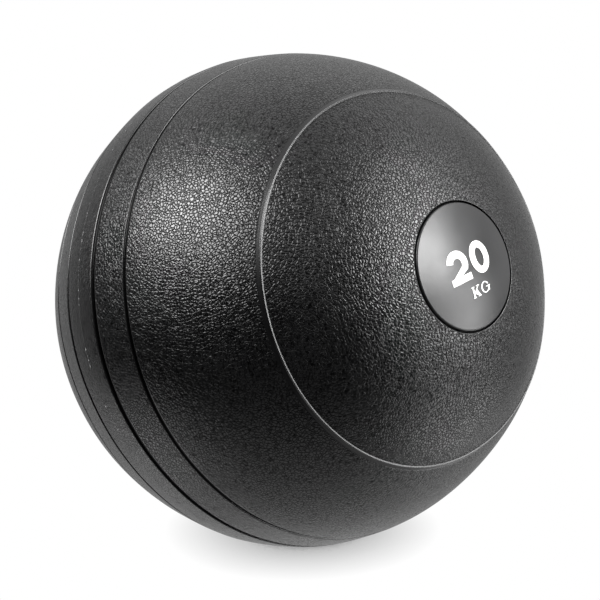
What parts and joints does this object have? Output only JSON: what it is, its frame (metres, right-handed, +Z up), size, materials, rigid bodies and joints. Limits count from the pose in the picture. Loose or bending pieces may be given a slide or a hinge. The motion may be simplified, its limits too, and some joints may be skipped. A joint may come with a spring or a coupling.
{
  "type": "medicine ball",
  "caption": "Heavy sand-filled exercise ball: moulded soft shell with stepped equatorial bands, a smooth marked disc at the front pole, and a filling plug at the rear.",
  "frame": {"origin": "the ball's centre", "axes": "+Z up with the ball standing on its flat patch; the marked disc's pole points towards -Y, 15 degrees above level; X is level, across the ball"},
  "size_m": [0.2804, 0.276, 0.2755],
  "materials": {
    "shell": "black soft PVC, pebble grained, low sheen",
    "disc": "black soft PVC, smooth satin",
    "plug": "black rubber, smooth, slightly matt",
    "ink": "white pad-printed ink",
    "sand": "loose dark iron sand"
  },
  "bodies": {
    "ball": {"outer_shell": "shell", "weight_disc": "disc", "rear_disc": "disc", "weight_numerals": "ink", "unit_letters": "ink", "sand_fill": "sand"},
    "plug": {"fill_plug": "plug"}
  },
  "joints": [
    {"name": "plug_pull", "type": "slide", "parent": "ball", "child": "plug", "axis": [0, 0.9659, -0.2588], "range_m": [0, 0.03]}
  ]
}
